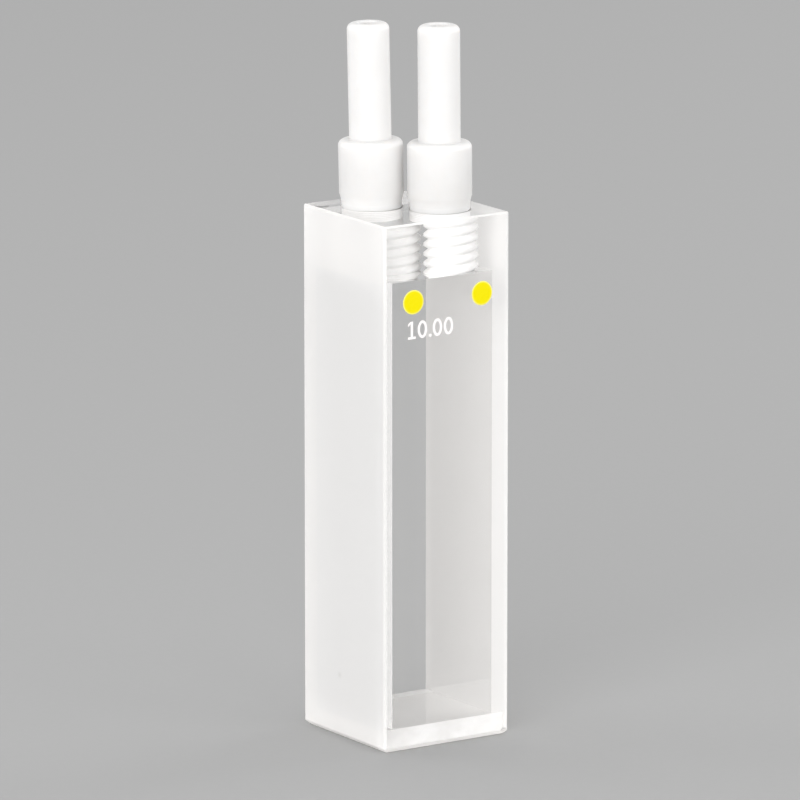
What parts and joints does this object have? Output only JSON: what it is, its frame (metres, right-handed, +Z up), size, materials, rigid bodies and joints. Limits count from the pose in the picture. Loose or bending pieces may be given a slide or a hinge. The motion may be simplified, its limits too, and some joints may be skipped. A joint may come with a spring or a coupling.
{
  "type": "screw-port flow cell cuvette",
  "caption": "Square quartz cuvette with a closed chamber, clear windows, ground sides and a solid head with threaded ports that hold screw-in tube fittings.",
  "frame": {"origin": "middle of the glass cell's flat base", "axes": "+Z up along the cell towards the ports; the clear windows face -Y (printed, the front) and +Y; the ground sides face -X and +X"},
  "size_m": [0.0126, 0.0126, 0.0606],
  "materials": {
    "clear_quartz": "fused quartz, polished clear, with finely ground edges and port threads",
    "ground_quartz": "fused quartz, finely ground to an even white frost outside and polished inside",
    "ptfe": "turned white PTFE, waxy and slightly translucent",
    "print_yellow": "fired yellow enamel, thin and slightly glossy",
    "print_white": "fired white enamel, thin and slightly glossy"
  },
  "bodies": {
    "cell": {"front_window": "clear_quartz", "back_window": "clear_quartz", "left_wall": "ground_quartz", "right_wall": "ground_quartz", "floor_plate": "ground_quartz", "head_block": "clear_quartz"},
    "left_connector": {"left_fitting": "ptfe"},
    "right_connector": {"right_fitting": "ptfe"}
  },
  "joints": [
    {"name": "left_fitting_lift", "type": "slide", "parent": "cell", "child": "left_connector", "axis": [0, 0, 1], "range_m": [0, 0.01]},
    {"name": "right_fitting_lift", "type": "slide", "parent": "cell", "child": "right_connector", "axis": [0, 0, 1], "range_m": [0, 0.01]}
  ]
}
